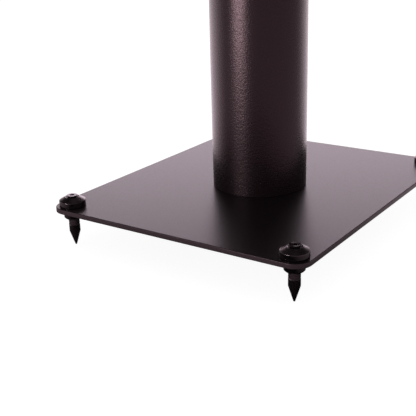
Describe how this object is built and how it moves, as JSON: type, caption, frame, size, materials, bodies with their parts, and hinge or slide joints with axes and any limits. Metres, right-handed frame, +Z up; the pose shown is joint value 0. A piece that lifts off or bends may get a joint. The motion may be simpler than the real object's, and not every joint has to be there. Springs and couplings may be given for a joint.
{
  "type": "loudspeaker stand",
  "caption": "Loudspeaker stand: a round steel column on a rectangular base plate with adjustable floor spikes, and a smaller top plate with rubber pads.",
  "frame": {"origin": "on the floor, in the middle of the four spike tips", "axes": "+Z up the column, +X across the stand to the right as seen from the front, -Y towards the front, the end that faces the listener"},
  "size_m": [0.302, 0.36, 0.6018],
  "materials": {
    "plates": "black powder coat, smooth satin to semi-gloss",
    "column": "black powder coat, satin with a fine orange-peel texture",
    "end_discs": "turned mild steel",
    "screws": "black oxide steel",
    "washers": "black oxide steel",
    "nuts": "turned steel, gloss black coat",
    "spikes": "turned steel, gloss black coat, duller and browner on the thread",
    "pads": "matt rubber"
  },
  "bodies": {
    "stand": {"base_plate": "plates", "column_tube": "column", "lower_end_disc": "end_discs", "upper_end_disc": "end_discs", "top_plate": "plates", "base_screws": "screws", "base_washers": "washers", "top_screws": "screws", "rubber_pad_front_left": "pads", "rubber_pad_front_right": "pads", "rubber_pad_rear_left": "pads", "rubber_pad_rear_right": "pads"},
    "lock_nut_body_front_left": {"lock_nut_front_left": "nuts"},
    "lower_nut_body_front_left": {"lower_nut_front_left": "nuts"},
    "spike_body_front_left": {"spike_front_left": "spikes"},
    "lock_nut_body_front_right": {"lock_nut_front_right": "nuts"},
    "lower_nut_body_front_right": {"lower_nut_front_right": "nuts"},
    "spike_body_front_right": {"spike_front_right": "spikes"},
    "lock_nut_body_rear_left": {"lock_nut_rear_left": "nuts"},
    "lower_nut_body_rear_left": {"lower_nut_rear_left": "nuts"},
    "spike_body_rear_left": {"spike_rear_left": "spikes"},
    "lock_nut_body_rear_right": {"lock_nut_rear_right": "nuts"},
    "lower_nut_body_rear_right": {"lower_nut_rear_right": "nuts"},
    "spike_body_rear_right": {"spike_rear_right": "spikes"}
  },
  "joints": [
    {"name": "lock_nut_turn_front_left", "type": "hinge", "parent": "stand", "child": "lock_nut_body_front_left", "pos_m": [-0.1335, -0.1625, 0.0444], "axis": [0, 0, -1], "range_deg": [0, 1440]},
    {"name": "lower_nut_turn_front_left", "type": "hinge", "parent": "stand", "child": "lower_nut_body_front_left", "pos_m": [-0.1335, -0.1625, 0.039], "axis": [0, 0, -1], "range_deg": [0, 1440]},
    {"name": "spike_travel_front_left", "type": "slide", "parent": "stand", "child": "spike_body_front_left", "axis": [0, 0, 1], "range_m": [0, 0.007]},
    {"name": "lock_nut_turn_front_right", "type": "hinge", "parent": "stand", "child": "lock_nut_body_front_right", "pos_m": [0.1335, -0.1625, 0.0444], "axis": [0, 0, -1], "range_deg": [0, 1440]},
    {"name": "lower_nut_turn_front_right", "type": "hinge", "parent": "stand", "child": "lower_nut_body_front_right", "pos_m": [0.1335, -0.1625, 0.039], "axis": [0, 0, -1], "range_deg": [0, 1440]},
    {"name": "spike_travel_front_right", "type": "slide", "parent": "stand", "child": "spike_body_front_right", "axis": [0, 0, 1], "range_m": [0, 0.007]},
    {"name": "lock_nut_turn_rear_left", "type": "hinge", "parent": "stand", "child": "lock_nut_body_rear_left", "pos_m": [-0.1335, 0.1625, 0.0444], "axis": [0, 0, -1], "range_deg": [0, 1440]},
    {"name": "lower_nut_turn_rear_left", "type": "hinge", "parent": "stand", "child": "lower_nut_body_rear_left", "pos_m": [-0.1335, 0.1625, 0.039], "axis": [0, 0, -1], "range_deg": [0, 1440]},
    {"name": "spike_travel_rear_left", "type": "slide", "parent": "stand", "child": "spike_body_rear_left", "axis": [0, 0, 1], "range_m": [0, 0.007]},
    {"name": "lock_nut_turn_rear_right", "type": "hinge", "parent": "stand", "child": "lock_nut_body_rear_right", "pos_m": [0.1335, 0.1625, 0.0444], "axis": [0, 0, -1], "range_deg": [0, 1440]},
    {"name": "lower_nut_turn_rear_right", "type": "hinge", "parent": "stand", "child": "lower_nut_body_rear_right", "pos_m": [0.1335, 0.1625, 0.039], "axis": [0, 0, -1], "range_deg": [0, 1440]},
    {"name": "spike_travel_rear_right", "type": "slide", "parent": "stand", "child": "spike_body_rear_right", "axis": [0, 0, 1], "range_m": [0, 0.007]}
  ],
  "couplings": [
    {"joint": "lower_nut_turn_front_left", "follows": "lock_nut_turn_front_left", "ratio": 1},
    {"joint": "spike_travel_front_left", "follows": "lock_nut_turn_front_left", "m_per_rad": 0.00027852},
    {"joint": "lower_nut_turn_front_right", "follows": "lock_nut_turn_front_right", "ratio": 1},
    {"joint": "spike_travel_front_right", "follows": "lock_nut_turn_front_right", "m_per_rad": 0.00027852},
    {"joint": "lower_nut_turn_rear_left", "follows": "lock_nut_turn_rear_left", "ratio": 1},
    {"joint": "spike_travel_rear_left", "follows": "lock_nut_turn_rear_left", "m_per_rad": 0.00027852},
    {"joint": "lower_nut_turn_rear_right", "follows": "lock_nut_turn_rear_right", "ratio": 1},
    {"joint": "spike_travel_rear_right", "follows": "lock_nut_turn_rear_right", "m_per_rad": 0.00027852}
  ]
}
